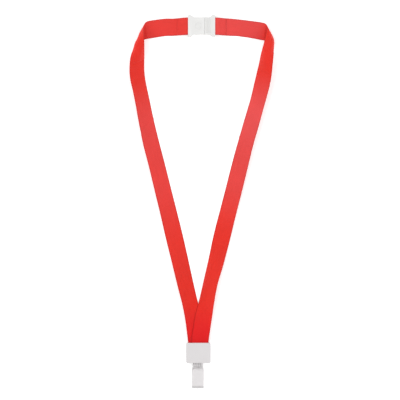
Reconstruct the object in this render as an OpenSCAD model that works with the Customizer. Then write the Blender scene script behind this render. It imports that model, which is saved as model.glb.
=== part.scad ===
// Lanyard with a breakaway buckle and a badge hook, laid out flat.
// +X runs across the lanyard, +Y from the hook to the neck buckle, +Z up.
// The origin is on the surface that it lies on, in the middle of its outline.

/* [Ribbon] */
// Width of the woven ribbon
ribbon_w = 20; // [19.5:0.1:20.2]
// Thickness of the woven ribbon
ribbon_t = 0.7; // [0.5:0.05:0.7]
// Strips across the width that bend the ribbon where it curls
ribbon_strips = 4; // [2:1:6]
// Rings from one station of the route to the next
ribbon_rings = 2; // [1:1:3]

/* [Breakaway buckle] */
// Thickness of both buckle halves
buckle_t = 6; // [6:0.1:7]
// Width of the buckle body
buckle_w = 20.5; // [20:0.1:22]
// Width over the flared ends
buckle_end_w = 26.4; // [26:0.1:28]
// Wall above and below the socket and the ribbon tunnels
buckle_wall = 1.1; // [1:0.05:1.2]
// Diameter of the bars that the ribbon loops around
bar_d = 1.8; // [1.4:0.1:1.8]
// Number of finger grooves across the plug
grooves = 4; // [2:1:5]

/* [Clamp block] */
// Width of the block
block_w = 28.5; // [28:0.1:30]
// Length of the block
block_l = 23.5; // [23:0.1:26]
// Thickness of the closed block
block_t = 8.6; // [8.4:0.1:9.4]
// Radius of the block's corners
block_r = 1.6; // [0.8:0.1:2.4]

/* [Badge hook] */
// Width of the hook's tongue and leg
hook_w = 13.7; // [12:0.1:14.5]
// Width of the ribbed neck
neck_w = 11.4; // [10.8:0.1:11.6]
// Thickness of the leg and the tongue
hook_t = 1.9; // [1.6:0.1:2]
// Clear gap between the leg and the tongue
hook_gap = 4.4; // [4.2:0.1:4.4]
// Diameter of the pivot pin
pin_d = 1.6; // [1.4:0.1:1.8]
// Number of ribs on the neck
neck_ribs = 5; // [3:1:5]

/* [Hidden] */
$fn = 48;
gap = 0.1;
eps = 0.01;
red = [0.85, 0.12, 0.1];
white = [0.93, 0.93, 0.92];
milky = [0.87, 0.86, 0.87];

// Buckle: centre, and distances from it along X
buckle_y = 203.5;
split_x = 3.7;
split_gap = 0.2;
end_x = 15.8;
lip_x = 13;
body_x = 11.4;
flare_x = 9.6;
bar_x = 13.6;
buckle_mid = buckle_t / 2;
end_r = 1.5;
tunnel_w = ribbon_w + 1;
socket_w = 16.6;
socket_depth = 11.4;
arm_x = 6;
arm_y = 6.6;
arm_w = 2;
arm_h = 2.8;
guide_x = 4;
guide_w = 6;
guide_h = 2.2;
bump_r = 0.5;
dish_d = 8;
dish_depth = 0.3;
groove_w = 0.6;
groove_pitch = 1.4;

// Block: centre of its top edge, and the split between its shells
block_x = -3.8;
block_top = -164;
block_mid = block_t / 2;
block_floor = block_top - block_l;
step_t = 0.8;
step_in = 0.5;
cavity_w = 25.2;
cavity_l = 14.4;
cavity_h = 2;
peg_r = 1.2;
peg_h = 1.6;
pegs = [[-10.5, -183.5], [10.5, -183.5], [-5, -180.6], [5, -180.6]];

// Hook: pivot, bend and the ends of its straight parts along Y
hook_x = -4.4;
pivot_y = -185.1;
pivot_z = block_mid;
pin_l = 16;
barrel_r = 1.8;
pocket_l = 5.4;
pocket_h = 5.8;
hook_base = 0.3;
bend_in = hook_gap / 2;
bend_out = bend_in + hook_t;
bend_z = hook_base + bend_out;
bend_y = -212.7;
tongue_root = bend_y + 0.8;
tongue_top = -193.7;
shoulder_r = 3.5;
tongue_taper = 0.9;
lip_h = 1.6;
lip_l = 1.6;
neck_bend = -191.4;
leg_start = -196.4;
rib_from = -187;
rib_to = -191.6;
rib_h = 0.5;
rib_w = 0.9;
rib_pitch = 2.1;

// The ribbon's loop around a buckle bar, seen from the side as [distance from the middle, height]
loop_r = bar_d / 2 + gap + ribbon_t / 2;
bottom_z = ribbon_t / 2 + 0.05;
doubled_z = bottom_z + ribbon_t + gap;
tail = [[33, bottom_z], [29, bottom_z], [23.5, 0.8], [18.6, buckle_mid - loop_r]];
turn = [for (a = [-90:30:90]) [bar_x - loop_r * cos(a), buckle_mid + loop_r * sin(a)]];
away = [[18.6, buckle_mid + loop_r], [23.5, 2.7], [29, doubled_z], [34, doubled_z]];
loop = concat(tail, turn, away);
loop_lie = 0.07;

// Edges of the ribbon by stations [x, y, z]: the inner edge borders the neck opening
left_inner = [[-42, 212.3, 0.6], [-50, 211.3, 1], [-55.5, 210.5, 2], [-60.2, 209.6, 3.2],
    [-64.6, 208.3, 5.2], [-66.6, 205, 8.5], [-66.9, 200.9, 12], [-66.8, 196.2, 15],
    [-66.5, 191.5, 17.1], [-66.2, 186.5, 17.6], [-66.1, 181.7, 16.7], [-66.1, 176.9, 15.1],
    [-66.1, 172.1, 13], [-66.2, 167.2, 11], [-66.4, 162.5, 9], [-66.5, 153, 5.5],
    [-65.7, 143.3, 3], [-63.9, 133.5, 1.5], [-60.4, 117.5, 0.6], [-55.6, 94.5, 0.5], [-49.5, 69.5, 0.5],
    [-43.2, 45.5, 0.5], [-36.3, 18, 0.5], [-29.2, -10, 0.5], [-22, -39, 0.5],
    [-16, -65.5, 0.6], [-10.4, -91, 0.6], [-5, -114.5, 0.6], [0.2, -133.5, 1.8],
    [2.45, -147.8, 3.1], [3.93, -159.5, 3.87], [4.6, -169.5, 3.87], [5, -177.5, 3.87]];
left_outer = [[-41, 192.1, 0.5], [-47.5, 191.3, 0.5], [-52.3, 190.5, 0.5], [-57.3, 189.7, 0.5],
    [-62.3, 188.9, 0.7], [-66.4, 187.9, 1.1], [-69.4, 186.9, 1.3], [-71.7, 185.4, 2.2],
    [-73.8, 182.9, 4.1], [-76.2, 179.5, 7.6], [-79, 175.9, 11.7], [-80.8, 171.7, 15.2],
    [-82.1, 167.2, 17.5], [-82.8, 162.5, 18], [-83.2, 157.5, 18], [-83.3, 148, 16.5],
    [-82.1, 138.5, 14.5], [-79.8, 128.9, 13], [-76.6, 112.9, 12], [-72.4, 89.5, 10], [-67.4, 64.5, 8.5],
    [-61.2, 40.5, 7], [-54.6, 12.7, 5], [-47.9, -15.1, 3], [-41.2, -44.5, 1.2],
    [-34.6, -70.8, 3.5], [-28.3, -96.5, 7.5], [-22.3, -120, 7.5], [-18.9, -138, 5.5],
    [-17.3, -150.5, 4.6], [-16, -161, 3.87], [-15.4, -170, 3.87], [-15, -177.5, 3.87]];
right_inner = [[42, 211.5, 0.6], [50, 210.6, 0.6], [57, 209.7, 0.6], [65, 208.6, 1],
    [70.4, 207.6, 3], [74.5, 206.1, 6], [76.3, 202.6, 9.5], [75.4, 198.2, 12.5],
    [74.2, 193.5, 14.5], [73.3, 188.7, 15.5], [72.2, 183.8, 15.5], [70.8, 178.9, 14.5],
    [69.5, 174.1, 13], [68.3, 169.2, 11.5], [67.4, 164.5, 10], [66.5, 159.7, 8.7],
    [64.1, 149.9, 6.3], [61.9, 140.2, 4.4], [59.6, 130.5, 3], [56.5, 117.5, 2], [49.6, 94.5, 1],
    [42.9, 71.2, 0.6], [36.4, 48, 0.5], [29, 19, 0.5], [21.5, -10, 0.5], [14, -39, 0.5],
    [7.9, -68, 0.6], [2.6, -91, 0.9], [-2.7, -114.5, 1.4], [-7.5, -132.3, 4],
    [-9.95, -147.6, 5], [-11.68, -160, 4.73], [-12.2, -169.5, 4.73], [-12.4, -177.5, 4.73]];
right_outer = [[41, 192, 0.5], [48, 191.1, 0.5], [54.5, 190.2, 0.5], [61.7, 188.9, 0.6],
    [66.6, 188, 0.8], [71.6, 187, 1.1], [76.2, 186, 1.5], [79.8, 184.6, 2.4],
    [82.1, 182.8, 5], [83.2, 179.8, 9], [83.5, 175.9, 12.5], [83.4, 171.9, 15.2],
    [83.1, 167.5, 17], [82.5, 162.9, 17.8], [82.1, 158.3, 17.8], [81.7, 153.5, 17.3],
    [80.7, 144.3, 15.5], [79.1, 135, 14], [76.6, 125.2, 12.6], [73, 112.2, 11.5], [66.6, 88.8, 10],
    [60, 65.5, 8.7], [54.3, 42.2, 7.5], [47.3, 13.2, 5.5], [39.9, -15.8, 3.5], [32.9, -44.8, 2],
    [25.3, -73.8, 4.5], [18.4, -97, 8.2], [14.4, -119, 9], [12, -135.5, 6.9],
    [9.9, -149.5, 5.4], [8.3, -161, 4.73], [7.8, -170, 4.73], [7.6, -177.5, 4.73]];
neck_stations = 3;
// How much narrower than the ribbon the edges may lie before it bows
slack = 0.5;

// One edge of the loop around a bar: side is -1 on the left, edge is +1 above the middle
function loop_edge(side, edge) =
    [for (p = loop) [side * p[0], buckle_y + edge * ribbon_w / 2 - loop_lie * max(0, p[0] - end_x), p[1]]];

// Smooth curve through the points of a list, s counts stations from 0
function smooth(p, s) =
    let (n = len(p) - 1, i = min(floor(s), n - 1), t = s - i,
        a = p[max(i - 1, 0)], b = p[i], c = p[i + 1], d = p[min(i + 2, n)])
    ((2 * b) + (c - a) * t + (2 * a - 5 * b + 4 * c - d) * t * t + (3 * b - a - 3 * c + d) * t * t * t) / 2;

function unit(v) = v / norm(v);

// One ring of the ribbon: its front points across the width, then its back points in reverse
function ring(inner, outer, s) =
    let (n = len(inner) - 1, ds = 0.05, s0 = max(s - ds, 0), s1 = min(s + ds, n),
        a = smooth(inner, s), b = smooth(outer, s), chord = norm(b - a), across = (b - a) / chord,
        ahead = unit(smooth(inner, s1) + smooth(outer, s1) - smooth(inner, s0) - smooth(outer, s0)),
        face = unit(cross(ahead, across)),
        bow = sqrt(max(0, 0.375 * ribbon_w * (ribbon_w - slack - chord))))
    [for (side = [1, -1]) for (k = [0:ribbon_strips])
        let (q = (side > 0 ? k : ribbon_strips - k) / ribbon_strips,
            lean = 4 * bow * (1 - 2 * q) / chord)
        a + (b - a) * q - face * bow * 4 * q * (1 - q)
            + side * ribbon_t / 2 * unit(face + across * lean)];

// Ribbon between two edges, as one closed sheet; its end is cut short by a part of a station
module ribbon(inner, outer, short = 0) {
    m = 2 * (ribbon_strips + 1);
    n = (len(inner) - 1) * ribbon_rings;
    rings = [for (i = [0:n]) ring(inner, outer, min(i / ribbon_rings, len(inner) - 1 - short))];
    points = [for (r = rings) each r];
    sides = [for (i = [0:n - 1]) for (k = [0:m - 1])
        let (p = i * m + k, q = i * m + (k + 1) % m) each [[p, q, p + m], [q, q + m, p + m]]];
    ends = [for (k = [0:ribbon_strips - 1])
        let (p = k, q = m - 1 - k, o = n * m)
        each [[p, q, p + 1], [q, q - 1, p + 1], [o + p, o + p + 1, o + q], [o + q, o + p + 1, o + q - 1]]];
    polyhedron(points, concat(sides, ends), convexity = 10);
}

function part_of(p, from, to) = [for (i = [from:to]) p[i]];

module ribbon_left() {
    color(red) ribbon(concat(loop_edge(-1, 1), left_inner), concat(loop_edge(-1, -1), left_outer));
}

module ribbon_right() {
    last = len(right_inner) - 1;
    color(red) ribbon(part_of(right_outer, neck_stations, last), part_of(right_inner, neck_stations, last));
}

module ribbon_right_neck() {
    color(red) ribbon(concat(loop_edge(1, -1), part_of(right_outer, 0, neck_stations)),
        concat(loop_edge(1, 1), part_of(right_inner, 0, neck_stations)), 0.06);
}

// A row of thread stitches across the doubled ribbon
module stitching(side) {
    stitch_l = 1.5;
    stitch_pitch = 2.1;
    stitch_r = 0.2;
    seam_x = 28.5;
    seam_y = buckle_y - 0.4;
    seam_z = doubled_z + ribbon_t / 2 + stitch_r + 0.2;
    rows = 9;
    color(red)
    for (i = [0:rows - 1])
    translate([side * seam_x, seam_y + (i - (rows - 1) / 2) * stitch_pitch, seam_z])
    rotate([90, 0, 0])
    cylinder(h = stitch_l, r = stitch_r, center = true, $fn = 16);
}

module stitching_left() stitching(-1);
module stitching_right() stitching(1);

// Flat plate with round corners, centred on x and y
module rounded_plate(w, l, h, r) {
    linear_extrude(h) {
        square([w - 2 * r, l], center = true);
        square([w, l - 2 * r], center = true);
        for (x = [-1, 1]) for (y = [-1, 1])
        translate([x * (w / 2 - r), y * (l / 2 - r)]) circle(r);
    }
}

// Ribbon end of a buckle half, for the +X side: flared frame, tunnel, slot in the back and bar
module ribbon_end(inside_x) {
    half = buckle_w / 2;
    half_end = buckle_end_w / 2;
    difference() {
        linear_extrude(buckle_t) {
            polygon([[inside_x, -half], [flare_x, -half], [lip_x, -half_end], [end_x - end_r, -half_end],
                [end_x, end_r - half_end], [end_x, half_end - end_r], [end_x - end_r, half_end],
                [lip_x, half_end], [flare_x, half], [inside_x, half]]);
            for (y = [-1, 1]) translate([end_x - end_r, y * (half_end - end_r)]) circle(end_r);
        }
        translate([body_x + 0.2, -tunnel_w / 2, buckle_wall])
        cube([end_x, tunnel_w, buckle_t - 2 * buckle_wall]);
        translate([body_x, -tunnel_w / 2, -1])
        cube([lip_x - body_x, tunnel_w, buckle_t - buckle_wall + 1]);
    }
    translate([bar_x, 0, buckle_mid])
    rotate([90, 0, 0])
    cylinder(h = tunnel_w + 0.4, d = bar_d, center = true);
}

module buckle_socket() {
    color(white)
    translate([0, buckle_y, 0])
    difference() {
        mirror([1, 0, 0]) ribbon_end(-split_x);
        translate([split_x - socket_depth, -socket_w / 2, buckle_wall])
        cube([socket_depth + 1, socket_w, buckle_t - 2 * buckle_wall]);
        translate([-3.6, 0, buckle_t - dish_depth])
        cylinder(h = 1, d = dish_d);
    }
}

module buckle_plug() {
    front = split_x + split_gap;
    color(white)
    translate([0, buckle_y, 0]) {
        difference() {
            ribbon_end(front);
            for (i = [0:grooves - 1])
            translate([front + 1.6 + i * groove_pitch, -buckle_w / 2 + 2, buckle_t - dish_depth])
            cube([groove_w, buckle_w - 4, 1]);
        }
        translate([-guide_x, -guide_w / 2, buckle_mid - guide_h / 2])
        cube([guide_x + front + eps, guide_w, guide_h]);
        for (side = [-1, 1]) {
            translate([-arm_x, side * arm_y - arm_w / 2, buckle_mid - arm_h / 2])
            cube([arm_x + front + eps, arm_w, arm_h]);
            translate([1.2 - arm_x, side * (arm_y + arm_w / 2), buckle_mid - arm_h / 2])
            cylinder(h = arm_h, r = bump_r);
        }
    }
}

// One shell of the block, outer face up, its open side at z = 0
module block_shell() {
    h = block_mid;
    translate([0, block_top - block_l / 2, 0])
    difference() {
        union() {
            rounded_plate(block_w, block_l, h - step_t, block_r);
            translate([0, 0, h - step_t - eps])
            rounded_plate(block_w - 2 * step_in, block_l - 2 * step_in, step_t + eps, block_r);
        }
        translate([-cavity_w / 2, block_l / 2 - cavity_l, -1])
        cube([cavity_w, cavity_l + 1, 1 + cavity_h / 2]);
        translate([hook_x - block_x - neck_w / 2 - 0.5, -block_l / 2 - 1, -1])
        cube([neck_w + 1, pocket_l + 1, 1 + pocket_h / 2]);
        translate([hook_x - block_x, pivot_y - block_top + block_l / 2, 0])
        rotate([0, 90, 0])
        cylinder(h = pin_l + 0.2, d = pin_d + 0.04, center = true);
    }
}

module block_front() {
    color(milky)
    translate([block_x, 0, block_mid]) {
        block_shell();
        for (p = pegs) translate([p[0], p[1], -peg_h]) cylinder(h = peg_h + 0.5, r = peg_r - 0.05);
    }
}

module block_back() {
    color(milky)
    translate([block_x, 0, block_mid])
    difference() {
        mirror([0, 0, 1]) block_shell();
        for (p = pegs) translate([p[0], p[1], -peg_h - 0.2]) cylinder(h = peg_h + 1, r = peg_r);
    }
}

module pivot_pin() {
    color([0.75, 0.76, 0.78])
    translate([hook_x, pivot_y, pivot_z])
    rotate([0, 90, 0])
    cylinder(h = pin_l, d = pin_d, center = true);
}

// Outline in the YZ plane, pulled out to a width along X
module across_x(w) {
    translate([hook_x - w / 2, 0, 0])
    rotate([90, 0, 90])
    linear_extrude(w)
    children();
}

module hook_leg() {
    top = hook_base + hook_t;
    neck_z = pivot_z - 1;
    color(milky)
    difference() {
        union() {
            across_x(neck_w) {
                translate([pivot_y, pivot_z]) circle(barrel_r);
                polygon([[pivot_y, neck_z], [pivot_y, neck_z + 2], [neck_bend - 0.6, neck_z + 2],
                    [leg_start - 0.6, top], [leg_start - 2, top], [leg_start - 2, hook_base],
                    [leg_start, hook_base], [neck_bend, neck_z]]);
            }
            for (i = [0:neck_ribs - 1])
            translate([(i - (neck_ribs - 1) / 2) * rib_pitch, 0, 0])
            across_x(rib_w)
            polygon([[rib_from, neck_z + 1.9], [rib_from, neck_z + 2 + rib_h],
                [rib_to + rib_h, neck_z + 2 + rib_h], [rib_to, neck_z + 1.9]]);
            across_x(hook_w) {
                translate([bend_y, hook_base]) square([leg_start - 0.8 - bend_y, hook_t]);
                translate([bend_y, bend_z])
                difference() {
                    circle(bend_out);
                    circle(bend_in);
                    translate([0, -2 * bend_out]) square(4 * bend_out);
                }
            }
        }
        translate([hook_x, pivot_y, pivot_z])
        rotate([0, 90, 0])
        cylinder(h = neck_w + 2, d = pin_d + 0.1, center = true);
    }
}

module hook_tongue() {
    z = bend_z + bend_in;
    l = tongue_top - tongue_root;
    top_w = hook_w - 2 * tongue_taper;
    color(milky) {
        translate([hook_x, tongue_root, z])
        linear_extrude(hook_t) {
            polygon([[-hook_w / 2, 0], [hook_w / 2, 0], [top_w / 2, l - shoulder_r],
                [top_w / 2 - shoulder_r, l], [shoulder_r - top_w / 2, l], [-top_w / 2, l - shoulder_r]]);
            for (x = [-1, 1]) translate([x * (top_w / 2 - shoulder_r), l - shoulder_r]) circle(shoulder_r);
        }
        translate([hook_x - top_w / 2 + shoulder_r, tongue_top - lip_l, z - lip_h])
        cube([top_w - 2 * shoulder_r, lip_l, lip_h + eps]);
    }
}

ribbon_left();
ribbon_right();
ribbon_right_neck();
stitching_left();
stitching_right();
buckle_socket();
buckle_plug();
block_front();
block_back();
pivot_pin();
hook_leg();
hook_tongue();
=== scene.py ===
import math

import bmesh
import bpy
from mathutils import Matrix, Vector


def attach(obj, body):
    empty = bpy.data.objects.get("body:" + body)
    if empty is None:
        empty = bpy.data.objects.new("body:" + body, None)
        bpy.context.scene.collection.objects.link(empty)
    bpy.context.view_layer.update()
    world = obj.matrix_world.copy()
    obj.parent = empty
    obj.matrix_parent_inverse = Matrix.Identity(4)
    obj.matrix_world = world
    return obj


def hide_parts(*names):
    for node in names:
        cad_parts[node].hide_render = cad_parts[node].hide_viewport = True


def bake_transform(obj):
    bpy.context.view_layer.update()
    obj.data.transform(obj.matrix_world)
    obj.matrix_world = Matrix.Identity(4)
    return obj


# Lanyard lying flat, seen from straight above. Lengths are in millimetres until a mesh is made.
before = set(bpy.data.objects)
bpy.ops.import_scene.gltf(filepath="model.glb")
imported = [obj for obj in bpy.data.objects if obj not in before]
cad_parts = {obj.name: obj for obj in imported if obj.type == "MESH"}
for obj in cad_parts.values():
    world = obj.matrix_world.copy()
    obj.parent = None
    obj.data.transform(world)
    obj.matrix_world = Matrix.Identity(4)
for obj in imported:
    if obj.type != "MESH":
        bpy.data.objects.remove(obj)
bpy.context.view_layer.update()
MM = 0.001
RIBBON_W, RIBBON_T = 20.0, 0.7

# ---------------------------------------------------------------- camera, floor and light
LENS, SENSOR = 200, 36
VIEW_WIDTH, VIEW_Z = 0.464, 0.005  # metres across the picture, and the height at which that holds

camera_data = bpy.data.cameras.new("camera")
camera_data.lens = LENS
camera_data.sensor_width = SENSOR
camera_data.clip_end = 50
camera = bpy.data.objects.new("camera", camera_data)
camera.location = (-0.00186, 0.00157, VIEW_WIDTH * LENS / SENSOR + VIEW_Z)
bpy.context.scene.collection.objects.link(camera)
bpy.context.scene.camera = camera


def area_light(name, place, size, power):
    """A round white light that looks at the middle of the frame."""
    data = bpy.data.lights.new(name, "AREA")
    data.shape = "DISK"
    data.size = size
    data.energy = power
    light = bpy.data.objects.new(name, data)
    light.location = place
    light.rotation_euler = (-Vector(place)).to_track_quat("-Z", "Y").to_euler()
    bpy.context.scene.collection.objects.link(light)


area_light("key", (-1.1, 0.8, 1.5), 1.6, 13)
area_light("fill", (1.3, -0.4, 1.4), 1.6, 7)
area_light("rim", (0.2, -1.6, 0.9), 1.2, 4)
world = bpy.data.worlds.new("studio")
world.use_nodes = True
background = world.node_tree.nodes["Background"]
background.inputs["Color"].default_value = (1, 1, 1, 1)
background.inputs["Strength"].default_value = 0.8
bpy.context.scene.world = world
bpy.context.scene.view_settings.view_transform = "Standard"


# ---------------------------------------------------------------- materials
class Shader:
    """A material's node tree, with short calls for the nodes used here."""

    def __init__(self, name):
        self.material = bpy.data.materials.new(name)
        self.material.use_nodes = True
        self.tree = self.material.node_tree
        self.bsdf = self.tree.nodes["Principled BSDF"]

    def node(self, kind, **inputs):
        made = self.tree.nodes.new(kind)
        for key, value in inputs.items():
            self.plug(value, made.inputs[key])
        return made

    def plug(self, value, socket):
        if isinstance(value, bpy.types.NodeSocket):
            self.tree.links.new(value, socket)
        else:
            socket.default_value = value

    def math(self, operation, a, b=0.0):
        made = self.tree.nodes.new("ShaderNodeMath")
        made.operation = operation
        self.plug(a, made.inputs[0])
        self.plug(b, made.inputs[1])
        return made.outputs[0]

    def mix(self, amount, a, b, blend="MIX"):
        made = self.tree.nodes.new("ShaderNodeMix")
        made.data_type = "RGBA"
        made.blend_type = blend
        self.plug(amount, made.inputs[0])
        self.plug(a, made.inputs[6])
        self.plug(b, made.inputs[7])
        return made.outputs[2]

    def ramp(self, value, low, high, to_low=0.0, to_high=1.0):
        made = self.tree.nodes.new("ShaderNodeMapRange")
        self.plug(value, made.inputs["Value"])
        for key, number in (("From Min", low), ("From Max", high), ("To Min", to_low), ("To Max", to_high)):
            made.inputs[key].default_value = number
        return made.outputs[0]

    def noise(self, vector, scale, detail=2.0, roughness=0.5):
        made = self.node("ShaderNodeTexNoise", Vector=vector, Scale=scale, Detail=detail, Roughness=roughness)
        return made.outputs["Fac"]

    def bump(self, height, strength, distance):
        made = self.node("ShaderNodeBump", Height=height, Strength=strength, Distance=distance)
        self.tree.links.new(made.outputs[0], self.bsdf.inputs["Normal"])

    def place(self):
        return self.node("ShaderNodeTexCoord").outputs["Object"]

    def stretched(self, place, scale):
        return self.node("ShaderNodeMapping", Vector=place, Scale=scale).outputs[0]

    def uv(self):
        """The u and v outputs of the UV map called cloth."""
        made = self.node("ShaderNodeUVMap")
        made.uv_map = "cloth"
        parts = self.node("ShaderNodeSeparateXYZ", Vector=made.outputs[0])
        return parts.outputs[0], parts.outputs[1]

    def set(self, **values):
        for key, value in values.items():
            self.plug(value, self.bsdf.inputs[key.replace("_", " ")])


def tinted(colour, factor, lift=0.0):
    """A colour times a factor, no channel above 1."""
    return tuple(min(1.0, factor * c + lift) for c in colour[:3]) + (1,)


WARP_GAP, WEFT_GAP, CORD_GAP = 0.62, 0.72, 0.9


def ribbon_material(name, base, light, shaded_red):
    """Woven polyester ribbon. The UV map is in millimetres, u across the width and v along it."""
    s = Shader(name)
    u, v = s.uv()
    wander = s.math("MULTIPLY", s.noise(s.place(), 90.0), 0.5)
    weft = s.math("SINE", s.math("MULTIPLY", s.math("ADD", v, wander), 2 * math.pi / WEFT_GAP))
    odd = s.math("MULTIPLY", s.math("SIGN", weft), math.pi / 2)
    warp = s.math("SINE", s.math("ADD", s.math("MULTIPLY", u, 2 * math.pi / WARP_GAP), odd))
    over = s.math("MULTIPLY", s.math("ABSOLUTE", weft), s.ramp(warp, -1, 1, 0.45, 1))
    from_middle = s.math("ABSOLUTE", s.math("SUBTRACT", u, RIBBON_W / 2))
    selvedge = s.ramp(from_middle, 8.9, 9.15)
    cord = s.math("ABSOLUTE", s.math("SINE", s.math("MULTIPLY", v, math.pi / CORD_GAP)))
    cords = s.math("MULTIPLY", s.math("MULTIPLY", selvedge, cord), 0.5)
    height = s.math("ADD", s.math("MULTIPLY", over, 0.7), cords)
    streak = s.node("ShaderNodeCombineXYZ", X=s.math("MULTIPLY", u, 2.4), Y=s.math("MULTIPLY", v, 0.05))
    streaks = s.noise(streak.outputs[0], 1.0, 3.0)
    cloud = s.noise(s.place(), 28.0, 3.0)
    # Painted light and shade: the float attribute mixes in the lighter lit red above 0 and the deeper shaded
    # red below 0.
    painted_shading = s.node("ShaderNodeAttribute")
    painted_shading.attribute_name = "painted_shading"
    painted_shading = painted_shading.outputs["Fac"]
    colour = s.mix(s.math("MAXIMUM", painted_shading, 0.0), base, light)
    colour = s.mix(s.math("MAXIMUM", s.math("MULTIPLY", painted_shading, -1.0), 0.0), colour, shaded_red)
    # Painted shade in the weave's hollows, where a thread dips under the next, times random streaks and
    # clouds in the dye.
    shade = s.math("MULTIPLY", s.ramp(over, 0, 1, 0.86, 1.04), s.ramp(streaks, 0.3, 0.7, 0.95, 1.05))
    shade = s.math("MULTIPLY", shade, s.ramp(cloud, 0.3, 0.7, 0.95, 1.04))
    # Painted shade along both selvedges: the colour darkens towards the ribbon's edges.
    shade = s.math("MULTIPLY", shade, s.ramp(from_middle, 9.1, 9.8, 1.0, 0.66))
    value = s.node("ShaderNodeCombineColor", Red=shade, Green=shade, Blue=shade)
    colour = s.mix(1.0, colour, value.outputs[0], "MULTIPLY")
    s.set(Base_Color=colour, Roughness=s.ramp(over, 0, 1, 0.72, 0.52), Sheen_Weight=0.1, Sheen_Roughness=0.4)
    s.set(Sheen_Tint=(1, 0.55, 0.5, 1), Specular_IOR_Level=0.3)
    s.bump(height, 0.8, 0.0002)
    return s.material


SHADE_EDGE_Y, SHADE_EDGE_Z = 0.9, 0.3


def plastic_material(name, base, rough, grain, milky=0.0, coat=0.0, shades=()):
    """Moulded plastic: fine mould grain, faint flow marks, a little wear on its edges.

    Each shade (y low, y high, z high, factor), in millimetres, is painted shade: it darkens the surface
    there, with soft borders.
    """
    s = Shader(name)
    place = s.place()
    fine = s.noise(place, 2600.0, 3.0)
    flow = s.noise(s.stretched(place, (60.0, 90.0, 80.0)), 1.0, 2.0)
    scuff = s.noise(place, 420.0, 6.0, 0.7)
    worn = s.ramp(s.node("ShaderNodeNewGeometry").outputs["Pointiness"], 0.5, 0.62)
    colour = s.mix(s.ramp(flow, 0.3, 0.7), tinted(base, 0.975), base)
    colour = s.mix(s.math("MULTIPLY", worn, 0.6), colour, tinted(base, 1.06, 0.02))
    parts = s.node("ShaderNodeSeparateXYZ", Vector=place)
    y, z = parts.outputs[1], parts.outputs[2]
    for low, high, top, factor in shades:
        band = s.ramp(y, low * MM, (low + SHADE_EDGE_Y) * MM)
        band = s.math("MULTIPLY", band, s.ramp(y, high * MM, (high - SHADE_EDGE_Y) * MM))
        band = s.math("MULTIPLY", band, s.ramp(z, top * MM, (top - SHADE_EDGE_Z) * MM))
        colour = s.mix(band, colour, tinted(base, factor))
    marks = s.ramp(scuff, 0.6, 0.75)
    grainy = s.ramp(fine, 0.3, 0.7, rough - 0.05, rough + 0.07)
    s.set(Base_Color=colour, Roughness=s.math("ADD", grainy, s.math("MULTIPLY", marks, 0.12)))
    if milky:
        s.set(Subsurface_Weight=milky, Subsurface_Radius=(1.0, 1.0, 1.0), Subsurface_Scale=0.0012)
    if coat:
        s.set(Coat_Weight=coat, Coat_Roughness=0.25)
    s.bump(s.math("ADD", fine, s.math("MULTIPLY", marks, -0.6)), grain, 0.00006)
    return s.material


def steel_material(name):
    """Steel with fine turning marks round the x axis."""
    s = Shader(name)
    turned = s.noise(s.stretched(s.place(), (9000.0, 300.0, 300.0)), 1.0, 4.0)
    s.set(Metallic=1.0, Base_Color=s.mix(turned, (0.45, 0.46, 0.48, 1), (0.72, 0.73, 0.74, 1)))
    s.set(Roughness=s.ramp(turned, 0.3, 0.7, 0.26, 0.42))
    s.bump(turned, 0.2, 0.00003)
    return s.material


def thread_material(name, groove_shade, pale):
    """Twisted sewing thread; its UV map runs round in u and along in v."""
    s = Shader(name)
    u, v = s.uv()
    twist = s.math("ADD", s.math("MULTIPLY", u, 2.0), s.math("MULTIPLY", v, 9.0))
    ply = s.math("ABSOLUTE", s.math("SINE", twist))
    # Painted shade: the thread is darkest in the grooves between its twisted plies and palest on their
    # crests, the same pattern as its bump.
    s.set(Base_Color=s.mix(ply, groove_shade, pale), Roughness=0.55)
    s.set(Sheen_Weight=0.2, Sheen_Roughness=0.4)
    s.bump(ply, 0.6, 0.00006)
    return s.material


def floor_material(name):
    """White table that also glows a little, so that shadows on it stay faint."""
    s = Shader(name)
    cloud = s.noise(s.place(), 3.0, 3.0)
    s.set(Base_Color=s.mix(cloud, (0.9, 0.9, 0.9, 1), (0.93, 0.93, 0.93, 1)))
    s.set(Roughness=0.8, Specular_IOR_Level=0.2, Emission_Color=(1, 1, 1, 1), Emission_Strength=0.3)
    return s.material


# Painted shade on the hook: darker in the gaps between the neck's ribs, below their tops, and round the
# underside of the bend.
NECK_SHADE, BEND_SHADE = (-193, -186, 5.75, 0.8), (-219, -213.4, 10, 0.73)
# Ribbon reds: base is the dye; light is a pinker red painted where the ribbon is lit; the last is a deeper
# red painted where it lies in shade.
RIBBON = ribbon_material("woven_ribbon", base=(0.79, 0.020, 0.008, 1), light=(0.80, 0.078, 0.078, 1),
                         shaded_red=(0.76, 0.001, 0.002, 1))
THREAD = thread_material("sewing_thread", (0.28, 0.008, 0.008, 1), (0.62, 0.03, 0.025, 1))
MATCHED_THREAD = thread_material("matched_thread", (0.6, 0.018, 0.012, 1), (0.78, 0.045, 0.035, 1))
BUCKLE = plastic_material("buckle_plastic", (0.72, 0.72, 0.71, 1), 0.3, 0.12, milky=0.1, coat=0.2)
BLOCK = plastic_material("block_plastic", (0.63, 0.61, 0.615, 1), 0.45, 0.35, milky=0.05)
HOOK = plastic_material("hook_plastic", (0.68, 0.66, 0.665, 1), 0.32, 0.12, milky=0.25, coat=0.15,
                        shades=(NECK_SHADE, BEND_SHADE))
STEEL = steel_material("pin_steel")

FLOOR_HALF, FLOOR_Z = 4, -0.0001
floor = bpy.data.objects.new("floor", bpy.data.meshes.new("floor"))
floor_corners = [(x * FLOOR_HALF, y * FLOOR_HALF, FLOOR_Z) for x, y in ((-1, -1), (1, -1), (1, 1), (-1, 1))]
floor.data.from_pydata(floor_corners, [], [(0, 1, 2, 3)])
floor.data.materials.append(floor_material("floor"))
bpy.context.scene.collection.objects.link(floor)


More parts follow.
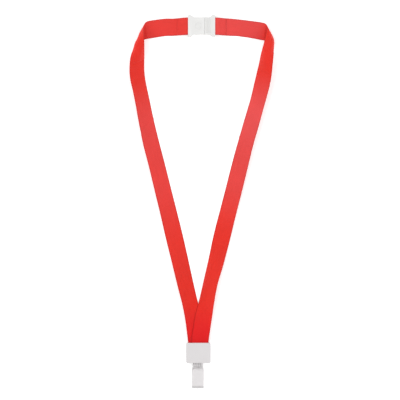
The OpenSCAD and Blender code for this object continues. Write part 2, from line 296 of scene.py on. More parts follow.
# ---------------------------------------------------------------- mesh helpers
def link(name, mesh, material, crease=35.0):
    """The mesh as an object, smooth but for edges that turn by more than crease degrees."""
    mesh.materials.clear()
    mesh.materials.append(material)
    bm = bmesh.new()
    bm.from_mesh(mesh)
    bmesh.ops.recalc_face_normals(bm, faces=bm.faces)
    for face in bm.faces:
        face.smooth = True
        face.material_index = 0
    for edge in bm.edges:
        edge.smooth = len(edge.link_faces) == 2 and math.degrees(edge.calc_face_angle(0)) < crease
    bm.to_mesh(mesh)
    bm.free()
    obj = bpy.data.objects.new(name, mesh)
    bpy.context.scene.collection.objects.link(obj)
    return obj


def mesh_of(points, faces):
    """A mesh from points in millimetres."""
    mesh = bpy.data.meshes.new("mesh")
    mesh.from_pydata([tuple(c * MM for c in p) for p in points], [], faces)
    return mesh


def finished(bm):
    """A new mesh with what the bmesh holds."""
    mesh = bpy.data.meshes.new("mesh")
    bm.to_mesh(mesh)
    bm.free()
    return mesh


def ring_faces(rings, sides):
    """Faces between neighbouring rings, whose points are numbered one ring after another."""
    faces = []
    for i in range(rings - 1):
        for k in range(sides):
            p, q = i * sides + k, i * sides + (k + 1) % sides
            faces.append((p, q, q + sides, p + sides))
    return faces


def circle(centre, first, second, sides):
    """Points round a centre. first and second are the arms at 0 and at 90 degrees."""
    turns = [2 * math.pi * j / sides for j in range(sides)]
    arms = list(zip(centre, first, second))
    return [tuple(c + p * math.cos(a) + q * math.sin(a) for c, p, q in arms) for a in turns]


def tube(rings):
    """A closed mesh through rings of points, with a flat cap on each end."""
    sides = len(rings[0])
    points = [p for ring in rings for p in ring]
    caps = [tuple(range(sides))[::-1], tuple(range(len(points) - sides, len(points)))]
    return mesh_of(points, ring_faces(len(rings), sides) + caps)


def fillet(corners, steps=5):
    """Outline [(x, y, radius)] with its corners rounded."""
    out = []
    n = len(corners)
    for i in range(n):
        x, y, r = corners[i]
        here = Vector((x, y))
        if r <= 0:
            out.append(here)
            continue
        before = (Vector(corners[i - 1][:2]) - here).normalized()
        after = (Vector(corners[(i + 1) % n][:2]) - here).normalized()
        half = before.angle(after) / 2
        reach = r / math.tan(half)
        a, b = here + before * reach, here + after * reach
        middle = here + (before + after).normalized() * r / math.sin(half)
        turn = (a - middle).angle_signed(b - middle)
        arm = a - middle
        for k in range(steps + 1):
            angle = -turn * k / steps
            cos, sin = math.cos(angle), math.sin(angle)
            out.append(middle + Vector((arm.x * cos - arm.y * sin, arm.x * sin + arm.y * cos)))
    return out


# Which of an outline's first direction, its second and its pull become x, y and z, by the axis of the pull
PULLED = {"x": (2, 0, 1), "y": (1, 2, 0), "z": (0, 1, 2)}


def moulding(outline, low, high, round_low, round_high, steps=3, axis="z", shift=(0, 0, 0)):
    """An outline pulled out from low to high along an axis, its two rims rounded.

    The outline is in (x, y); on axis x it is in (y, z), and on axis y in (z, x).
    """
    bm = bmesh.new()
    ring = [bm.verts.new((p[0], p[1], low)) for p in outline]
    bottom = bm.faces.new(ring)
    top = bmesh.ops.extrude_face_region(bm, geom=[bottom])
    raised = [v for v in top["geom"] if isinstance(v, bmesh.types.BMVert)]
    for v in raised:
        v.co.z = high
    bmesh.ops.recalc_face_normals(bm, faces=bm.faces)
    for level, radius in ((low, round_low), (high, round_high)):
        if radius > 0:
            rim = [e for e in bm.edges if all(abs(v.co.z - level) < 1e-6 for v in e.verts)]
            bmesh.ops.bevel(bm, geom=rim, offset=radius, segments=steps, profile=0.5, affect="EDGES",
                            clamp_overlap=False)
    for v in bm.verts:
        v.co = (Vector([v.co[i] for i in PULLED[axis]]) + Vector(shift)) * MM
    bm.normal_update()
    bmesh.ops.recalc_face_normals(bm, faces=bm.faces)
    return finished(bm)


def rod(radius, half, axis, place, round_end=0.0):
    """A round bar along x or y, centred on its place, with its ends' rims rounded."""
    outline = circle((0, 0), (radius, 0), (0, radius), 32)
    return moulding(outline, -half, half, round_end, round_end, 2, axis, place)


def brick(low, high, rounding=0.0):
    outline = [(low[0], low[1]), (high[0], low[1]), (high[0], high[1]), (low[0], high[1])]
    return moulding(outline, low[2], high[2], rounding, rounding, 2)


def carve(mesh, tools):
    """The mesh with each tool cut out of it."""
    scene = bpy.context.scene.collection
    body = bpy.data.objects.new("carved", mesh)
    scene.objects.link(body)
    helpers = []
    for tool in tools:
        helper = bpy.data.objects.new("tool", tool)
        scene.objects.link(helper)
        helpers.append(helper)
        step = body.modifiers.new("cut", "BOOLEAN")
        step.operation = "DIFFERENCE"
        step.solver = "EXACT"
        step.object = helper
    bpy.context.view_layer.update()
    made = bpy.data.meshes.new_from_object(body.evaluated_get(bpy.context.evaluated_depsgraph_get()))
    for obj in helpers + [body]:
        bpy.data.objects.remove(obj)
    return made


def joined(*meshes):
    """Several meshes as one."""
    bm = bmesh.new()
    for mesh in meshes:
        bm.from_mesh(mesh)
    return finished(bm)


def piece(name, mesh, material, body, stands_for, crease=35.0):
    """An object that rides on a body and stands for CAD nodes."""
    obj = link(name, mesh, material, crease)
    if material in (BUCKLE, BLOCK, STEEL):
        flat = obj.modifiers.new("flat faces", "WEIGHTED_NORMAL")
        flat.keep_sharp = True
    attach(obj, body)
    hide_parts(*stands_for)
    return obj


# ---------------------------------------------------------------- ribbon
BUCKLE_Y, BUCKLE_T, BAR_X, BAR_D, END_X = 203.5, 6.0, 13.6, 1.8, 15.8
MID = BUCKLE_T / 2
LOOP_R = BAR_D / 2 + 0.1 + RIBBON_T / 2
BOTTOM_Z = RIBBON_T / 2 + 0.05
DOUBLED_Z = BOTTOM_Z + RIBBON_T + 0.1
LOOP_SLOPE = 0.07  # how much a loop's line leans down the page outside the buckle

# Route of a ribbon's loop in (x, z): its tail below, round the buckle's bar, and out above
LOOP = [(33, BOTTOM_Z), (29, BOTTOM_Z), (23.5, 0.8), (18.6, MID - LOOP_R)]
for degrees in range(-90, 91, 30):
    angle = math.radians(degrees)
    LOOP.append((BAR_X - LOOP_R * math.cos(angle), MID + LOOP_R * math.sin(angle)))
LOOP += [(18.6, MID + LOOP_R), (23.5, 2.7), (29, DOUBLED_Z), (34, DOUBLED_Z)]

# Stations of the ribbon's two edges; the inner edge borders the neck opening
LEFT_INNER = [
    (-42, 212.3, 0.6), (-50, 211.3, 1), (-55.5, 210.5, 2), (-60.2, 209.6, 3.2), (-64.6, 208.3, 5.2),
    (-66.6, 205, 8.5), (-66.9, 200.9, 12), (-66.8, 196.2, 15), (-66.5, 191.5, 17.1), (-66.2, 186.5, 17.6),
    (-66.1, 181.7, 16.7), (-66.1, 176.9, 15.1), (-66.1, 172.1, 13), (-66.2, 167.2, 11), (-66.4, 162.5, 9),
    (-66.5, 153, 5.5), (-65.7, 143.3, 3), (-63.9, 133.5, 1.5), (-60.4, 117.5, 0.6), (-55.6, 94.5, 0.5),
    (-49.5, 69.5, 0.5), (-43.2, 45.5, 0.5), (-36.3, 18, 0.5), (-29.2, -10, 0.5), (-22, -39, 0.5),
    (-16, -65.5, 0.6), (-10.4, -91, 0.6), (-5, -114.5, 0.6), (0.2, -133.5, 1.8), (2.45, -147.8, 3.1),
    (3.93, -159.5, 3.87), (4.6, -169.5, 3.87), (5, -177.5, 3.87),
]
LEFT_OUTER = [
    (-41, 192.1, 0.5), (-47.5, 191.3, 0.5), (-52.3, 190.5, 0.5), (-57.3, 189.7, 0.5), (-62.3, 188.9, 0.7),
    (-66.4, 187.9, 1.1), (-69.4, 186.9, 1.3), (-71.7, 185.4, 2.2), (-73.8, 182.9, 4.1),
    (-76.2, 179.5, 7.6), (-79, 175.9, 11.7), (-80.8, 171.7, 15.2), (-82.1, 167.2, 17.5), (-82.8, 162.5, 18),
    (-83.2, 157.5, 18), (-83.3, 148, 16.5), (-82.1, 138.5, 14.5), (-79.8, 128.9, 13), (-76.6, 112.9, 12),
    (-72.4, 89.5, 10), (-67.4, 64.5, 8.5), (-61.2, 40.5, 7), (-54.6, 12.7, 5), (-47.9, -15.1, 3),
    (-41.2, -44.5, 1.2), (-34.6, -70.8, 3.5), (-28.3, -96.5, 7.5), (-22.3, -120, 7.5), (-18.9, -138, 5.5),
    (-17.3, -150.5, 4.6), (-16, -161, 3.87), (-15.4, -170, 3.87), (-15, -177.5, 3.87),
]
RIGHT_INNER = [
    (42, 211.5, 0.6), (50, 210.6, 0.6), (57, 209.7, 0.6), (65, 208.6, 1), (70.4, 207.6, 3), (74.5, 206.1, 6),
    (76.3, 202.6, 9.5), (75.4, 198.2, 12.5), (74.2, 193.5, 14.5), (73.3, 188.7, 15.5), (72.2, 183.8, 15.5),
    (70.8, 178.9, 14.5), (69.5, 174.1, 13), (68.3, 169.2, 11.5), (67.4, 164.5, 10), (66.5, 159.7, 8.7),
    (64.1, 149.9, 6.3), (61.9, 140.2, 4.4), (59.6, 130.5, 3), (56.5, 117.5, 2), (49.6, 94.5, 1),
    (42.9, 71.2, 0.6), (36.4, 48, 0.5), (29, 19, 0.5), (21.5, -10, 0.5), (14, -39, 0.5), (7.9, -68, 0.6),
    (2.6, -91, 0.9), (-2.7, -114.5, 1.4), (-7.5, -132.3, 4), (-9.95, -147.6, 5), (-11.68, -160, 4.73),
    (-12.2, -169.5, 4.73), (-12.4, -177.5, 4.73),
]
RIGHT_OUTER = [
    (41, 192, 0.5), (48, 191.1, 0.5), (54.5, 190.2, 0.5), (61.7, 188.9, 0.6), (66.6, 188, 0.8),
    (71.6, 187, 1.1), (76.2, 186, 1.5), (79.8, 184.6, 2.4), (82.1, 182.8, 5), (83.2, 179.8, 9),
    (83.5, 175.9, 12.5), (83.4, 171.9, 15.2), (83.1, 167.5, 17), (82.5, 162.9, 17.8), (82.1, 158.3, 17.8),
    (81.7, 153.5, 17.3), (80.7, 144.3, 15.5), (79.1, 135, 14), (76.6, 125.2, 12.6), (73, 112.2, 11.5),
    (66.6, 88.8, 10), (60, 65.5, 8.7), (54.3, 42.2, 7.5), (47.3, 13.2, 5.5), (39.9, -15.8, 3.5),
    (32.9, -44.8, 2), (25.3, -73.8, 4.5), (18.4, -97, 8.2), (14.4, -119, 9), (12, -135.5, 6.9),
    (9.9, -149.5, 5.4), (8.3, -161, 4.73), (7.8, -170, 4.73), (7.6, -177.5, 4.73),
]
NECK_STATIONS = 3  # of the right ribbon's stations, those up to this one belong to the neck piece
SLACK = 0.5
STEP = 0.8
ACROSS = 16
SELVEDGE, SELVEDGE_SWELL, EDGE_ROUND = 1.1, 0.07, 0.35
KEPT_START, KEPT_END, EASE_IN, EASE_REACH = 60, 52, 12, 4.0
CREASE_WIDTH = 1.7
CLOTH_CREASE = 60


def loop_edge(side, edge):
    """One edge of a ribbon's loop through the buckle; side is -1 on the left, edge is -1 below."""
    return [(side * x, BUCKLE_Y + edge * RIBBON_W / 2 - LOOP_SLOPE * max(0, x - END_X), z) for x, z in LOOP]


def smooth(points, s):
    """Point at station s on the smooth curve through the points."""
    n = len(points) - 1
    i = min(int(s), n - 1)
    t = s - i
    a, b, c, d = (Vector(points[j]) for j in (max(i - 1, 0), i, i + 1, min(i + 2, n)))
    return (2 * b + (c - a) * t + (2 * a - 5 * b + 4 * c - d) * t ** 2 + (3 * b - a - 3 * c + d) * t ** 3) / 2


def even_rows(first, second, end):
    """Rows (edge point, edge point, place along) from station 0 to end, their centres STEP apart."""
    fine = [end * k / 4000 for k in range(4001)]
    pairs = [(smooth(first, s), smooth(second, s)) for s in fine]
    length = [0.0]
    for (a, b), (c, d) in zip(pairs, pairs[1:]):
        length.append(length[-1] + ((c + d) / 2 - (a + b) / 2).length)
    count = max(2, round(length[-1] / STEP))
    rows, k = [], 0
    for i in range(count + 1):
        want = length[-1] * i / count
        while k < len(length) - 2 and length[k + 1] < want:
            k += 1
        share = (want - length[k]) / max(length[k + 1] - length[k], 1e-9)
        (a, b), (c, d) = pairs[k], pairs[k + 1]
        rows.append((a.lerp(c, share), b.lerp(d, share), want))
    return rows, length[-1]


def eased(rows):
    """Rows with small kinks eased out, except near the two ends."""
    total = rows[-1][2]
    half = int(EASE_REACH / (total / (len(rows) - 1)))
    made = []
    for i, (a, b, v) in enumerate(rows):
        free = min(1.0, max(0.0, (v - KEPT_START) / EASE_IN), max(0.0, (total - KEPT_END - v) / EASE_IN))
        n = int(half * free)
        if n < 1:
            made.append((a, b, v))
            continue
        sums, weight = [Vector(), Vector()], 0.0
        for j in range(-n, n + 1):
            w = 1 - abs(j) / (n + 1)
            row = rows[min(max(i + j, 0), len(rows) - 1)]
            sums[0] += row[0] * w
            sums[1] += row[1] * w
            weight += w
        made.append((sums[0] / weight, sums[1] / weight, v))
    return made


def ridge(u, v, creases):
    """Height of the faint creases, each (v in the middle, slant, height), at a place on the ribbon."""
    height = 0
    for at, slant, high in creases:
        away = v - at + slant * (u - RIBBON_W / 2)
        height += high * math.exp(-(away / CREASE_WIDTH) ** 2)
    return height


def eased_step(t):
    """From 0 to 1 with a soft start and end."""
    t = min(1.0, max(0.0, t))
    return t * t * (3 - 2 * t)


def between(v, table):
    """Value at v of a smooth line through the (v, value) pairs."""
    for (a, x), (b, y) in zip(table, table[1:]):
        if v <= b:
            return x + (y - x) * eased_step((v - a) / (b - a))
    return table[-1][1]


def ribbon_profile():
    """Pairs (share of the width, half the thickness) from edge to edge, closer near the edges."""
    profile = []
    for k in range(ACROSS + 1):
        q = 0.5 - 0.5 * math.cos(math.pi * k / ACROSS) * 0.25 - 0.375 * (1 - 2 * k / ACROSS)
        edge = min(q, 1 - q) * RIBBON_W
        thick = RIBBON_T / 2 * (1 + SELVEDGE_SWELL * math.sin(math.pi * min(1.0, edge / SELVEDGE)))
        if edge < EDGE_ROUND:
            thick *= math.sqrt(max(0.0, 1 - (1 - edge / EDGE_ROUND) ** 2)) * 0.85 + 0.15
        profile.append((q, thick))
    return profile


def ribbon_mesh(rows, painted_shading_table, creases=()):
    """The ribbon as a closed sheet with round selvedges.

    Its UVs are in millimetres. A float attribute along the ribbon paints light and shade into its colour:
    lighter and pinker where it is lit, deeper red where it lies in shade.
    """
    profile = ribbon_profile()
    points, uvs, painted_shadings = [], [], []
    for i, (a, b, v) in enumerate(rows):
        before, after = rows[max(i - 1, 0)], rows[min(i + 1, len(rows) - 1)]
        ahead = (after[0] + after[1] - before[0] - before[1]).normalized()
        chord = (b - a).length
        across = (b - a) / chord
        face = ahead.cross(across).normalized()
        bow = math.sqrt(max(0.0, 0.375 * RIBBON_W * (RIBBON_W - SLACK - chord)))
        painted_shading = between(v, painted_shading_table)
        for side in (1, -1):
            order = profile if side > 0 else profile[::-1]
            for q, thick in order:
                lean = 4 * bow * (1 - 2 * q) / chord
                out = (face + across * lean).normalized()
                rise = bow * 4 * q * (1 - q) + ridge(q * RIBBON_W, v, creases)
                points.append(a + (b - a) * q - face * rise + out * side * thick)
                uvs.append((q * RIBBON_W, v))
                painted_shadings.append(painted_shading)
    m = 2 * (ACROSS + 1)
    faces = ring_faces(len(rows), m)
    for row, flip in ((0, False), (len(rows) - 1, True)):
        for k in range(ACROSS):
            p, q = row * m + k, row * m + m - 1 - k
            quad = (p, q, q - 1, p + 1)
            faces.append(quad[::-1] if flip else quad)
    mesh = mesh_of(points, faces)
    layer = mesh.uv_layers.new(name="cloth")
    for loop in mesh.loops:
        layer.data[loop.index].uv = uvs[loop.vertex_index]
    mesh.attributes.new("painted_shading", "FLOAT", "POINT").data.foreach_set("value", painted_shadings)
    return mesh


left_first = loop_edge(-1, 1) + LEFT_INNER
left_second = loop_edge(-1, -1) + LEFT_OUTER
left_rows, left_length = even_rows(left_first, left_second, len(left_first) - 1)
right_first = loop_edge(1, -1) + RIGHT_OUTER
right_second = loop_edge(1, 1) + RIGHT_INNER
right_rows, right_length = even_rows(right_first, right_second, len(right_first) - 1)
neck_length = even_rows(right_first, right_second, len(LOOP) + NECK_STATIONS)[1]
seam = min(range(len(right_rows)), key=lambda i: abs(right_rows[i][2] - neck_length))
left_rows = eased(left_rows)
right_rows = eased(right_rows)

# Painted light and shade along the ribbon (place along the ribbon, amount): above 0 lighter, a painted lit
# pinker red on the neck and the straps' middles; below 0 deeper, a painted shaded red at the corners and just
# above the block
LEFT_PAINTED_SHADING = ((0, 0.25), (75, 0.3), (100, -0.05), (125, -0.1), (190, 0.5), (260, 0.4), (340, 0.05),
              (left_length - 70, 0.0), (left_length - 20, -1.0))
RIGHT_PAINTED_SHADING = ((0, 0.6), (neck_length, 0.65), (neck_length + 20, 0.0), (neck_length + 45, -0.1), (190, 0.85),
               (260, 0.55), (340, 0.0), (right_length - 70, 0.0), (right_length - 20, -1.0))
LEFT_CREASES = ((193, -0.55, 0.4), (203, 0.25, 0.2), (292, 0.3, 0.2))
RIGHT_CREASES = ((224, 0.6, 0.45), (233, 0.3, 0.2), (152, -0.3, 0.25), (318, -0.4, 0.2))

left_mesh = ribbon_mesh(left_rows, LEFT_PAINTED_SHADING, LEFT_CREASES)
cloth_left = piece("ribbon_left_cloth", left_mesh, RIBBON, "lanyard", ["ribbon_left"],
                   CLOTH_CREASE)
right_mesh = ribbon_mesh(right_rows[seam:], RIGHT_PAINTED_SHADING, RIGHT_CREASES)
cloth_right = piece("ribbon_right_cloth", right_mesh, RIBBON, "lanyard", ["ribbon_right"],
                    CLOTH_CREASE)
neck_mesh = ribbon_mesh(right_rows[:seam + 1], RIGHT_PAINTED_SHADING)
cloth_neck = link("ribbon_right_neck_cloth", neck_mesh, RIBBON, CLOTH_CREASE)
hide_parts("ribbon_right_neck")
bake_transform(cloth_neck)


# ---------------------------------------------------------------- sewn seams
SEAM_X, SEAM_Y = 28.5, BUCKLE_Y - 0.4
STITCHES, STITCH_GAP, STITCH_REACH, STITCH_SLANT = 9, 2.1, 0.8, 0.06
THREAD_R, THREAD_TOP, THREAD_DIVE, THREAD_SIDES, THREAD_STEPS = 0.2, 0.42, 0.34, 10, 8
STEP_LENGTH = 0.2


def seam_mesh(side):
    """Row of thread loops in line, which dive into the ribbon at their ends."""
    bm = bmesh.new()
    uv_layer = bm.loops.layers.uv.new("cloth")
    top = DOUBLED_Z + RIBBON_T / 2
    for i in range(STITCHES):
        middle = SEAM_Y + (i - STITCHES // 2) * STITCH_GAP
        rings = []
        for k in range(THREAD_STEPS + 1):
            t = k / THREAD_STEPS * 2 - 1
            x = side * SEAM_X + STITCH_SLANT * t
            z = top + THREAD_TOP - THREAD_DIVE * t ** 4
            r = THREAD_R * (1 - 0.35 * t ** 4)
            ring = circle((x, middle + STITCH_REACH * t, z), (r, 0, 0), (0, 0, r), THREAD_SIDES)
            rings.append([bm.verts.new([c * MM for c in p]) for p in ring])
        for k in range(THREAD_STEPS):
            low, high = rings[k], rings[k + 1]
            for j in range(THREAD_SIDES):
                after = (j + 1) % THREAD_SIDES
                face = bm.faces.new((low[j], low[after], high[after], high[j]))
                for corner, (du, dv) in zip(face.loops, ((0, 0), (1, 0), (1, 1), (0, 1))):
                    corner[uv_layer].uv = (2 * math.pi * (j + du) / THREAD_SIDES, (k + dv) * STEP_LENGTH)
        bm.faces.new(rings[0][::-1])
        bm.faces.new(rings[-1])
    return finished(bm)


piece("seam_left_thread", seam_mesh(-1), MATCHED_THREAD, "lanyard", ["stitching_left"], 80)
piece("seam_right_thread", seam_mesh(1), THREAD, "buckle_plug", ["stitching_right"], 80)


# ---------------------------------------------------------------- breakaway buckle
HALF, HALF_END, FLARE_X, LIP_X, BODY_X, WALL = 10.25, 13.2, 9.6, 13.0, 11.4, 1.1
TUNNEL_W, SOCKET_W, SOCKET_DEPTH, SPLIT = RIBBON_W + 1, 16.6, 11.4, 3.7
DISH_X, DISH_R, DISH_DEPTH = -3.6, 4.0, 0.45
PLUG_FRONT = SPLIT + 0.1
GROOVES, GROOVE_X, GROOVE_GAP = 4, PLUG_FRONT + 1.9, 1.4
GROOVE_HALF, GROOVE_DEPTH, GROOVE_LIFT, GROOVE_LENGTH = 0.38, 0.4, 0.05, 2 * HALF - 4
GUIDE_TIP, GUIDE_Y, GUIDE_Z = -4, 3, 1.1
ARM_ROOT, ARM_Z = PLUG_FRONT + 0.5, 1.4


def half_outline(inside, side):
    """Outline of a buckle half from its split edge to its flared end."""
    corners = [(inside, -HALF, 0.5), (FLARE_X, -HALF, 2.5), (LIP_X, -HALF_END, 1.4), (END_X, -HALF_END, 1.5),
               (END_X, HALF_END, 1.5), (LIP_X, HALF_END, 1.4), (FLARE_X, HALF, 2.5), (inside, HALF, 0.5)]
    return [(side * p.x, p.y) for p in fillet(corners)]


def buckle_half(inside, side, extra_cuts):
    """A buckle half with its ribbon tunnel, the slot below it, and the bar that the ribbon goes round."""
    shell = moulding(half_outline(inside, side), 0, BUCKLE_T, 0.45, 0.6, 4, shift=(0, BUCKLE_Y, 0))
    low_y, high_y = BUCKLE_Y - TUNNEL_W / 2, BUCKLE_Y + TUNNEL_W / 2
    x = sorted((side * (BODY_X + 0.2), side * (END_X + 1)))
    tunnel = brick((x[0], low_y, WALL), (x[1], high_y, BUCKLE_T - WALL))
    x = sorted((side * BODY_X, side * LIP_X))
    slot = brick((x[0], low_y, -1), (x[1], high_y, BUCKLE_T - WALL))
    shell = carve(shell, [tunnel, slot] + extra_cuts)
    bar = rod(BAR_D / 2, TUNNEL_W / 2 + 0.2, "y", (side * BAR_X, BUCKLE_Y, MID))
    return joined(shell, bar)


def dish(x, y, radius, depth, top):
    """Cutter for a shallow round dish with a soft floor."""
    rise = [(radius * 0.82, depth), (radius * 0.93, depth * 0.75), (radius, 0.0), (radius + 0.25, -0.6)]
    return tube([circle((x, y, top - down), (r, 0, 0), (0, r, 0), 64) for r, down in rise])


def finger_groove(x):
    """Cutter for one shallow round-bottomed groove across the plug's top, at x."""
    outline = []
    for k in range(9):
        a = math.pi * k / 8
        outline.append((BUCKLE_T + GROOVE_LIFT - GROOVE_DEPTH * math.sin(a), x + GROOVE_HALF * math.cos(a)))
    return moulding(outline, -GROOVE_LENGTH / 2, GROOVE_LENGTH / 2, 0, 0, axis="y", shift=(0, BUCKLE_Y, 0))


def click_arm(side):
    """One of the plug's two springy arms, with a small click bump."""
    tip = [(-6, 5.9, 0.5), (-5.2, 5.6, 0.3), (ARM_ROOT, 5.6, 0), (ARM_ROOT, 7.6, 0),
           (-3.6, 7.6, 0.4), (-4.4, 8.1, 0.3), (-5.2, 8.1, 0.3), (-6, 7.3, 0.3)]
    outline = [(p.x, side * p.y) for p in fillet(tip, 3)]
    return moulding(outline, MID - ARM_Z, MID + ARM_Z, 0.2, 0.2, 2, shift=(0, BUCKLE_Y, 0))


cavity_low = (SPLIT - SOCKET_DEPTH, BUCKLE_Y - SOCKET_W / 2, WALL)
cavity_high = (SPLIT + 1, BUCKLE_Y + SOCKET_W / 2, BUCKLE_T - WALL)
emblem = dish(DISH_X, BUCKLE_Y, DISH_R, DISH_DEPTH, BUCKLE_T)
socket = buckle_half(-SPLIT, -1, [brick(cavity_low, cavity_high), emblem])
piece("buckle_socket_shell", socket, BUCKLE, "lanyard", ["buckle_socket"], 30)

plug = buckle_half(PLUG_FRONT, 1, [finger_groove(GROOVE_X + i * GROOVE_GAP) for i in range(GROOVES)])
guide_low = (GUIDE_TIP, BUCKLE_Y - GUIDE_Y, MID - GUIDE_Z)
guide_high = (ARM_ROOT, BUCKLE_Y + GUIDE_Y, MID + GUIDE_Z)
plug = joined(plug, brick(guide_low, guide_high, 0.25), click_arm(-1), click_arm(1))
piece("buckle_plug_shell", plug, BUCKLE, "buckle_plug", ["buckle_plug"], 30)


# ---------------------------------------------------------------- clamp block
BLOCK_X, BLOCK_TOP, BLOCK_W, BLOCK_L, BLOCK_T = -3.8, -164.0, 28.5, 23.5, 8.6
HOOK_X, PIVOT_Y, PIVOT_Z = -4.4, -185.1, 4.3
SHELL_GAP, OUTER_ROUND, INNER_ROUND = 0.03, 1.1, 0.12
CAVITY_X, CAVITY_L, CAVITY_Z = 12.6, 14.4, 1
POCKET_X, POCKET_L, POCKET_Z = 6.2, 5.4, 2.9
PIN_R, PIN_HALF, BARREL_R, BARREL_HALF = 0.8, 8, 1.8, 5.7
PIVOT = (HOOK_X, PIVOT_Y, PIVOT_Z)


def block_shell(low, high, round_low, round_high):
    """One half of the clamp block, with its ribbon cavity, hook pocket and pin groove."""
    w, l = BLOCK_W / 2, BLOCK_L / 2
    outline = fillet([(-w, -l, 1.7), (w, -l, 1.7), (w, l, 1.7), (-w, l, 1.7)], 8)
    shell = moulding(outline, low, high, round_low, round_high, 5, shift=(BLOCK_X, BLOCK_TOP - l, 0))
    end = BLOCK_TOP - BLOCK_L
    cavity = brick((BLOCK_X - CAVITY_X, BLOCK_TOP - CAVITY_L, PIVOT_Z - CAVITY_Z),
                   (BLOCK_X + CAVITY_X, BLOCK_TOP + 1, PIVOT_Z + CAVITY_Z))
    pocket = brick((HOOK_X - POCKET_X, end - 1, PIVOT_Z - POCKET_Z),
                   (HOOK_X + POCKET_X, end + POCKET_L, PIVOT_Z + POCKET_Z))
    groove = rod(PIN_R + 0.02, PIN_HALF + 0.1, "x", PIVOT)
    return carve(shell, [cavity, pocket, groove])


back = block_shell(0, PIVOT_Z - SHELL_GAP, OUTER_ROUND, INNER_ROUND)
piece("block_back_shell", back, BLOCK, "lanyard", ["block_back"], 30)
front = block_shell(PIVOT_Z + SHELL_GAP, BLOCK_T, INNER_ROUND, OUTER_ROUND)
piece("block_front_shell", front, BLOCK, "lanyard", ["block_front"], 30)
pin = rod(PIN_R, PIN_HALF, "x", PIVOT, 0.15)
piece("hook_pin", pin, STEEL, "lanyard", ["pivot_pin"], 30)


# ---------------------------------------------------------------- badge hook
NECK_W, NECK_T, LEG_W, LEG_T = 11.4, 2.0, 13.7, 1.9
NECK_START, NECK_L, DROP_START, DROP_L, WIDEN_START, WIDEN_L = -185.4, 12.2, -191.4, 5.8, -190.0, 6.0
BEND_Y, BEND_Z, BEND_R, LEG_Z = -212.7, 4.4, 3.15, 1.25
LEG_END = BEND_Y + 1.0
TONGUE_Z = BEND_Z + BEND_R
RIBS, RIB_GAP, RIB_W, RIB_ROOT, RIB_RISE, RIB_START, RIB_L = 5, 2.1, 1.0, 0.7, 0.55, -187.0, 4.9
TIP, SHOULDER, TAPER, TIP_W, THIN, THIN_L = -193.7, 3.5, 1.8, 4.9, 0.9, 0.9
CORNER_R = 0.45


def swept(path, sides=4):
    """A rounded bar along a path in (y, z), from rows of (y, z, width, thickness)."""
    rings = []
    for i, (y, z, width, thick) in enumerate(path):
        before, after = path[max(i - 1, 0)], path[min(i + 1, len(path) - 1)]
        ahead = Vector((after[0] - before[0], after[1] - before[1])).normalized()
        up = Vector((-ahead.y, ahead.x))
        r = min(CORNER_R, thick * 0.45, width * 0.45)
        ring = []
        for quarter, (sx, sz) in enumerate(((1, 1), (-1, 1), (-1, -1), (1, -1))):
            for k in range(sides + 1):
                a = math.radians(90 * quarter + 90 * k / sides)
                across = sx * (width / 2 - r) + r * math.cos(a)
                place = Vector((y, z)) + up * (sz * (thick / 2 - r) + r * math.sin(a))
                ring.append((HOOK_X + across, place.x, place.y))
        rings.append(ring)
    return tube(rings)


def neck_drop(y):
    """How much of the way down from the pin to the leg the neck has gone at y, from 0 to 1."""
    return eased_step((DROP_START - y) / DROP_L)


def neck_z(y):
    return PIVOT_Z + (LEG_Z - PIVOT_Z) * neck_drop(y)


def leg_mesh():
    """The neck, and the flat leg below it up to the bend."""
    path = []
    for k in range(31):
        y = NECK_START - NECK_L * k / 30
        width = NECK_W + (LEG_W - NECK_W) * eased_step((WIDEN_START - y) / WIDEN_L)
        path.append((y, neck_z(y), width, NECK_T + (LEG_T - NECK_T) * neck_drop(y)))
    leg_start = NECK_START - NECK_L
    for k in range(1, 18):
        path.append((leg_start + (LEG_END - leg_start) * k / 17, LEG_Z, LEG_W, LEG_T))
    return swept(path)


def rib_mesh(shift):
    """One rib along the neck's top, shifted sideways."""
    path = []
    for k in range(13):
        t = k / 12
        y = RIB_START - RIB_L * t
        lift = RIB_RISE * min(1.0, 6 * (1 - t))
        path.append((y, neck_z(y) + (NECK_T - RIB_ROOT + lift) / 2, RIB_W, RIB_ROOT + lift))
    rib = swept(path, 2)
    for v in rib.vertices:
        v.co.x += shift * MM
    return rib


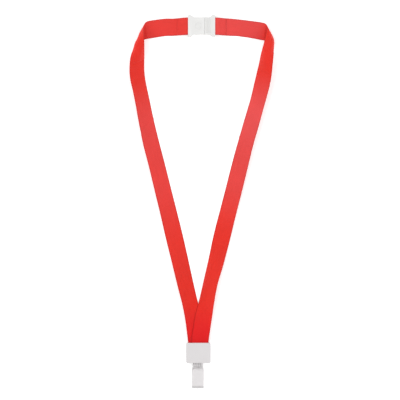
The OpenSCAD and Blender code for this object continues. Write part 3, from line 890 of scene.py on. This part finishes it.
def tongue_mesh():
    """The bend and the tongue on top, from a slightly smaller plug inside the leg's end to the tip."""
    path = [(y, LEG_Z, LEG_W - 0.1, LEG_T - 0.1) for y in (LEG_END + 0.5, LEG_END + 0.02)]
    path += [(y, LEG_Z, LEG_W, LEG_T) for y in (LEG_END, BEND_Y + 0.5)]
    for k in range(25):
        a = math.radians(-90 - 180 * k / 24)
        path.append((BEND_Y + BEND_R * math.cos(a), BEND_Z + BEND_R * math.sin(a), LEG_W, LEG_T))
    for k in range(1, 41):
        t = 1 - (1 - k / 40) ** 1.6
        y = BEND_Y + (TIP - BEND_Y) * t
        over = max(0.0, y - (TIP - SHOULDER))
        rounding = SHOULDER - math.sqrt(max(0.0, SHOULDER ** 2 - over ** 2))
        width = LEG_W - TAPER * t - 2 * rounding
        thick = LEG_T - THIN * max(0.0, (y - (TIP - THIN_L)) / THIN_L) ** 2
        path.append((y, TONGUE_Z, max(width, TIP_W), thick))
    return swept(path)


def thumb_rim(points=33, sides=12):
    """Low raised arc on the tongue, thinner towards its two ends."""
    arc = []
    for k in range(points):
        a = math.radians(-62 + 124 * k / (points - 1))
        arc.append((4.6 * math.sin(a), TIP - 4.9 + 3.7 * math.cos(a)))
    rings = []
    for i, (x, y) in enumerate(arc):
        before, after = arc[max(i - 1, 0)], arc[min(i + 1, points - 1)]
        r = 0.32 * min(1.0, (i + 0.5) / 4, (points - 0.5 - i) / 4)
        wide = Vector((after[1] - before[1], before[0] - after[0])).normalized() * r * 1.3
        rings.append(circle((HOOK_X + x, y, TONGUE_Z + 0.93), (wide.x, wide.y, 0), (0, 0, r), sides))
    return tube(rings)


barrel = carve(rod(BARREL_R, BARREL_HALF, "x", PIVOT, 0.2), [rod(PIN_R + 0.06, 7, "x", PIVOT)])
ribs = [rib_mesh((i - RIBS // 2) * RIB_GAP) for i in range(RIBS)]
piece("hook_leg_moulding", joined(leg_mesh(), barrel, *ribs), HOOK, "hook", ["hook_leg"], 40)

lip_side = [(TIP - 0.35, 6.9), (TIP - 1.9, 6.9), (TIP - 1.5, 5.2), (TIP - 1.0, 5.0), (TIP - 0.5, 5.2)]
lip = moulding(lip_side, -2.5, 2.5, 0.15, 0.15, 2, "x", (HOOK_X, 0, 0))
spring = link("hook_tongue_moulding", joined(tongue_mesh(), lip, thumb_rim()), HOOK, 40)
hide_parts("hook_tongue")
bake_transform(spring)
